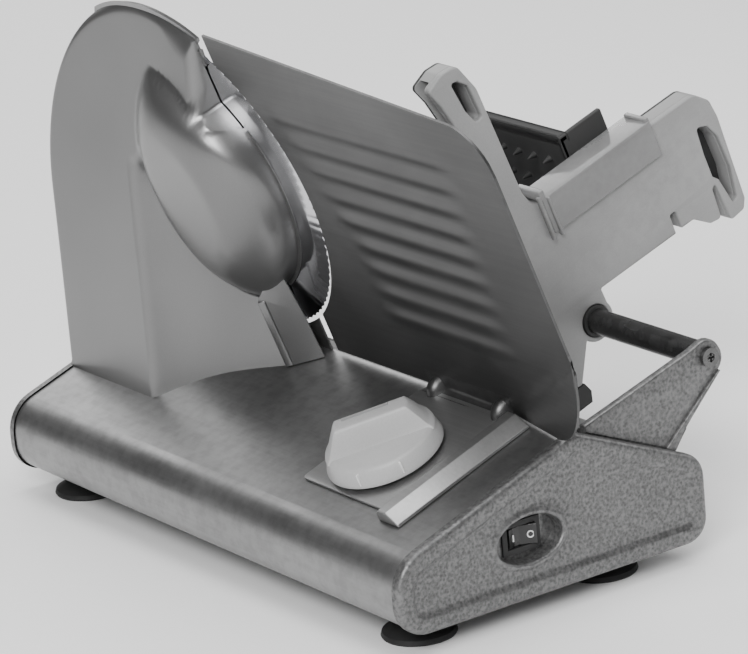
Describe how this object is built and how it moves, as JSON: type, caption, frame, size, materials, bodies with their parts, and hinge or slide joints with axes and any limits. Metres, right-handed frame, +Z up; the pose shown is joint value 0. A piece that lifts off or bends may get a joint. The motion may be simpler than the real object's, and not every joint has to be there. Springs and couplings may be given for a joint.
{
  "type": "deli meat slicer",
  "caption": "Small electric food slicer: upright serrated disc blade in a domed housing, ribbed guide plate set by a knob, and a food carriage on a rail.",
  "frame": {"origin": "bottom centre of the whole object's box, on the surface that the feet stand on", "axes": "+X along the base from the motor end to the switch end, +Y from the nose of the base to the food carriage, +Z up"},
  "size_m": [0.399, 0.3092, 0.2822],
  "materials": {
    "sheet_steel": "satin",
    "hammered_casting": "hammered silver lacquer",
    "silver_lacquer": "smooth silver lacquer",
    "blade_steel": "polished",
    "guide_sheet": "satin, pressed ribs",
    "grey_plastic": "satin moulded",
    "table_steel": "brushed",
    "black_plastic": "matt moulded",
    "black_tube": "gloss black",
    "smoky_plastic": "smoky, half clear",
    "rubber": "matt",
    "switch_black": "gloss",
    "gear_nylon": "moulded",
    "turned_steel": "turned",
    "bronze": "sintered",
    "fastener": "zinc plated"
  },
  "bodies": {
    "root": {"base_shell": "sheet_steel", "base_floor": "black_plastic", "end_cap_right": "hammered_casting", "end_cap_left": "hammered_casting", "foot_front_left": "rubber", "foot_rear_left": "rubber", "foot_front_right": "rubber", "foot_rear_right": "rubber", "foot_screws": "fastener", "switch_body": "black_plastic", "cord_gland": "black_plastic", "rail_bracket_right": "hammered_casting", "rail_bracket_left": "hammered_casting", "carriage_rail": "black_tube", "rail_screws": "fastener", "bracket_screws": "fastener", "blade_housing": "silver_lacquer", "housing_screws": "fastener", "housing_back_plate": "silver_lacquer", "back_plate_screws": "fastener", "blade_spindle": "turned_steel", "idler_axle": "turned_steel", "motor_can": "turned_steel", "motor_mount": "turned_steel", "motor_screws": "fastener", "guide_screws": "fastener", "knob_bush": "black_plastic", "slice_deflector": "silver_lacquer"},
    "blade": {"blade": "blade_steel", "drive_gear": "gear_nylon", "spindle_bush": "bronze", "blade_screws": "fastener", "blade_centre_cap": "fastener"},
    "idler": {"idler_gear": "gear_nylon"},
    "motor_rotor": {"motor_shaft": "turned_steel", "motor_pinion": "turned_steel"},
    "guide": {"guide_plate": "guide_sheet", "cam_follower": "turned_steel"},
    "knob": {"thickness_knob": "grey_plastic", "knob_spindle": "turned_steel", "knob_washer": "turned_steel"},
    "carriage": {"carriage_fence": "grey_plastic", "fence_inner_panel": "black_plastic", "carriage_table": "table_steel", "rail_bush_right": "black_plastic", "rail_bush_left": "black_plastic", "slide_pad": "black_plastic", "carriage_screws": "fastener"},
    "pusher": {"pusher_clip": "smoky_plastic", "pusher_plate": "black_plastic", "pusher_spikes": "black_plastic"},
    "rocker": {"switch_rocker": "switch_black"}
  },
  "joints": [
    {"name": "blade_spin", "type": "hinge", "parent": "root", "child": "blade", "pos_m": [-0.08493, -0.07699, 0.18651], "axis": [0, 0.9426, 0.3338], "continuous": true},
    {"name": "idler_spin", "type": "hinge", "parent": "root", "child": "idler", "pos_m": [-0.1206, -0.0628, 0.14644], "axis": [0, 0.9426, 0.3338], "continuous": true},
    {"name": "motor_spin", "type": "hinge", "parent": "root", "child": "motor_rotor", "pos_m": [-0.14554, -0.05214, 0.11635], "axis": [0, 0.9426, 0.3338], "continuous": true},
    {"name": "guide_slide", "type": "slide", "parent": "root", "child": "guide", "axis": [0, -0.9426, -0.3338], "range_m": [0, 0.015]},
    {"name": "knob_turn", "type": "hinge", "parent": "root", "child": "knob", "pos_m": [0.08607, -0.09493, 0.06941], "axis": [0, -0.3338, 0.9426], "range_deg": [0, 300]},
    {"name": "carriage_slide", "type": "slide", "parent": "root", "child": "carriage", "axis": [1, 0, 0], "range_m": [-0.15, 0.078]},
    {"name": "pusher_slide", "type": "slide", "parent": "carriage", "child": "pusher", "axis": [0, 0.9426, 0.3338], "range_m": [-0.001, 0.026]},
    {"name": "switch_rock", "type": "hinge", "parent": "root", "child": "rocker", "pos_m": [0.16207, -0.07354, 0.0419], "axis": [0, 0, 1], "range_deg": [0, 14]}
  ],
  "couplings": [
    {"joint": "idler_spin", "follows": "blade_spin", "ratio": -4.2857},
    {"joint": "motor_spin", "follows": "blade_spin", "ratio": 15},
    {"joint": "knob_turn", "follows": "guide_slide", "rad_per_m": 349.06}
  ]
}
